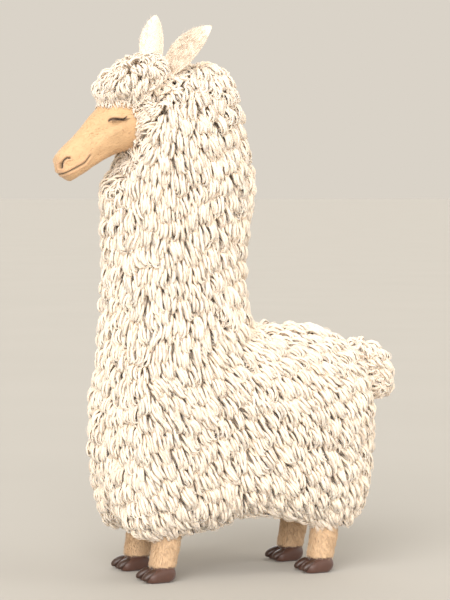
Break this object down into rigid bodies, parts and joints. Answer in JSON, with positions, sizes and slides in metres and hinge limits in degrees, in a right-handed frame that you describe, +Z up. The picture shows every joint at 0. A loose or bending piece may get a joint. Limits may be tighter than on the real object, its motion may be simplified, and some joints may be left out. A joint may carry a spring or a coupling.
{
  "type": "llama",
  "caption": "Life-size standing llama in full curly cream fleece, neck upright, head turned slightly left, bare fawn face and lower legs, brown feet; a still museum-like model.",
  "frame": {"origin": "on the floor under the middle of the whole animal, half way from nose to tail", "axes": "+Z up, -X towards the nose, -Y towards the animal's left side"},
  "size_m": [1.1926, 0.5374, 1.8279],
  "materials": {
    "fleece": "dense curly wool in crimped locks, matte, cream",
    "face_hair": "short flat hair on skin, matte with a faint sheen, apricot fawn",
    "toe_pads": "leathery brown foot skin, dull",
    "nail_horn": "worn horn, satin, brown",
    "eyes": "wet, glossy, near black"
  },
  "bodies": {
    "root": {"trunk": "fleece", "neck": "fleece", "tail": "fleece", "head": "face_hair", "jaw": "face_hair", "topknot": "fleece", "ear_left": "fleece", "ear_right": "fleece", "eye_left": "eyes", "eye_right": "eyes", "leg_front_left": "fleece", "leg_front_right": "fleece", "leg_hind_left": "fleece", "leg_hind_right": "fleece", "toe_front_left_outer": "toe_pads", "toe_front_left_inner": "toe_pads", "toe_front_right_outer": "toe_pads", "toe_front_right_inner": "toe_pads", "toe_hind_left_outer": "toe_pads", "toe_hind_left_inner": "toe_pads", "toe_hind_right_outer": "toe_pads", "toe_hind_right_inner": "toe_pads", "nail_front_left_outer": "nail_horn", "nail_front_left_inner": "nail_horn", "nail_front_right_outer": "nail_horn", "nail_front_right_inner": "nail_horn", "nail_hind_left_outer": "nail_horn", "nail_hind_left_inner": "nail_horn", "nail_hind_right_outer": "nail_horn", "nail_hind_right_inner": "nail_horn"}
  },
  "joints": []
}
